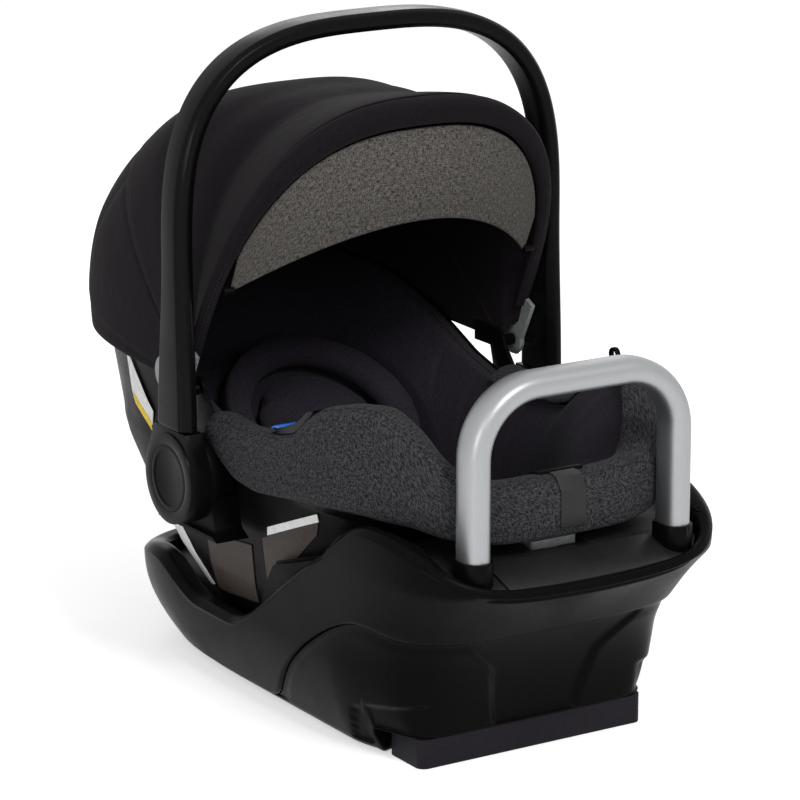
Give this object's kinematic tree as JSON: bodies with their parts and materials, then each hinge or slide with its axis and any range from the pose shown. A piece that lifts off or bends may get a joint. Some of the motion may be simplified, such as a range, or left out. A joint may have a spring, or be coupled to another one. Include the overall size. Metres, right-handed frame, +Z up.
{
  "type": "infant car seat",
  "caption": "Rear-facing infant car seat: padded carrier with turning carry handle, folding canopy and visor, on a vehicle base with anti-rebound bar.",
  "frame": {"origin": "middle of the base's flat underside, on the floor, below the handle's turning axis", "axes": "+Z up, -Y towards the foot end with the anti-rebound bar, +Y towards the head end, X across the seat; the handle hubs turn about X"},
  "size_m": [0.445, 0.7682, 0.658],
  "materials": {
    "base_plastic": "satin black moulded plastic",
    "tray_plastic": "matte black moulded plastic",
    "deck_plastic": "satin black plastic",
    "collar_plastic": "satin black plastic",
    "foot_plastic": "matte dark grey plastic",
    "tab_plastic": "satin light grey-green plastic",
    "bar_metal": "satin silver",
    "latch_metal": "zinc-plated steel",
    "screw_metal": "black coated",
    "shell_plastic": "satin black moulded plastic",
    "hub_plastic": "satin black plastic",
    "button_plastic": "satin black plastic",
    "handle_plastic": "satin black moulded plastic",
    "buckle_plastic": "gloss black plastic",
    "release_red": "gloss red plastic",
    "foam": "dark foam",
    "lining": "matte near-black violet knit",
    "cover_cloth": "charcoal heather cloth",
    "canopy_cloth": "matte black-brown knit",
    "visor_cloth": "mid-grey heather cloth",
    "webbing": "woven black webbing",
    "pivot_plastic": "matte light grey plastic",
    "mark_blue": "gloss blue"
  },
  "bodies": {
    "base": {"base_lower": "base_plastic", "base_upper": "base_plastic", "base_tray": "tray_plastic", "front_deck": "deck_plastic", "deck_panel": "deck_plastic", "deck_screws": "screw_metal", "latch_bars": "latch_metal", "rebound_bar": "bar_metal", "bar_collar_left": "collar_plastic", "bar_collar_right": "collar_plastic", "foot_guides": "tray_plastic"},
    "recline_foot": {"recline_foot": "foot_plastic"},
    "recline_tab": {"recline_tab": "tab_plastic"},
    "carrier": {"carrier_shell": "shell_plastic", "latch_rails": "tray_plastic", "hub_housing_left": "hub_plastic", "hub_housing_right": "hub_plastic", "seat_foam": "foam", "seat_liner": "lining", "seat_insert": "lining", "head_pad_ring": "lining", "head_pillow": "lining", "harness_left": "webbing", "harness_right": "webbing", "shoulder_pad_left": "lining", "shoulder_pad_right": "lining", "chest_clip": "buckle_plastic", "buckle": "buckle_plastic", "crotch_strap": "webbing", "crotch_pad": "lining", "rim_cover": "cover_cloth", "belt_guide_left": "buckle_plastic", "belt_guide_right": "buckle_plastic", "guide_marks": "mark_blue", "adjuster_strap": "webbing", "adjuster_slot": "collar_plastic", "rim_clip": "collar_plastic", "release_bracket": "tray_plastic", "release_pin": "latch_metal", "canopy_mount_left": "hub_plastic", "canopy_mount_right": "hub_plastic", "canopy_rear": "canopy_cloth", "canopy_back": "canopy_cloth"},
    "release_lever": {"release_lever": "button_plastic"},
    "buckle_button": {"buckle_button": "release_red"},
    "handle": {"handle_bar": "handle_plastic", "handle_hub_left": "handle_plastic", "handle_hub_right": "handle_plastic", "button_springs": "latch_metal"},
    "hub_button_left": {"hub_button_left": "button_plastic"},
    "hub_button_right": {"hub_button_right": "button_plastic"},
    "canopy": {"canopy_hub_left": "pivot_plastic", "canopy_hub_right": "pivot_plastic", "canopy_hoop": "canopy_cloth", "canopy_front": "canopy_cloth"},
    "visor": {"visor": "visor_cloth", "visor_ears": "hub_plastic"}
  },
  "joints": [
    {"name": "recline_foot_slide", "type": "slide", "parent": "base", "child": "recline_foot", "axis": [0, 0, -1], "range_m": [0, 0.03]},
    {"name": "recline_tab_slide", "type": "slide", "parent": "base", "child": "recline_tab", "axis": [0, -1, 0], "range_m": [0, 0.008], "stiffness_N_per_m": 400, "springref_m": -0.002},
    {"name": "carrier_lift", "type": "slide", "parent": "base", "child": "carrier", "axis": [0, 0.1736, 0.9848], "range_m": [0, 0.42]},
    {"name": "release_lever_turn", "type": "hinge", "parent": "carrier", "child": "release_lever", "pos_m": [0, 0.32452, 0.25787], "axis": [1, 0, 0], "range_deg": [0, 18], "stiffness_Nm_per_rad": 0.6, "springref_deg": -8.59},
    {"name": "buckle_button_press", "type": "slide", "parent": "carrier", "child": "buckle_button", "axis": [0, -0.2971, -0.9548], "range_m": [0, 0.005], "stiffness_N_per_m": 600, "springref_m": -0.002},
    {"name": "handle_turn", "type": "hinge", "parent": "carrier", "child": "handle", "pos_m": [0, 0, 0.223], "axis": [1, 0, 0], "range_deg": [-95, 55]},
    {"name": "hub_button_left_press", "type": "slide", "parent": "handle", "child": "hub_button_left", "axis": [1, 0, 0], "range_m": [0, 0.004], "stiffness_N_per_m": 900, "springref_m": -0.002},
    {"name": "hub_button_right_press", "type": "slide", "parent": "handle", "child": "hub_button_right", "axis": [-1, 0, 0], "range_m": [0, 0.004], "stiffness_N_per_m": 900, "springref_m": -0.002},
    {"name": "canopy_fold", "type": "hinge", "parent": "carrier", "child": "canopy", "pos_m": [0, 0.024, 0.3], "axis": [1, 0, 0], "range_deg": [-68, 0], "deforming": ["canopy_front", "canopy_rear"]},
    {"name": "visor_turn", "type": "hinge", "parent": "canopy", "child": "visor", "pos_m": [0, -0.032, 0.408], "axis": [1, 0, 0], "range_deg": [0, 50]}
  ]
}
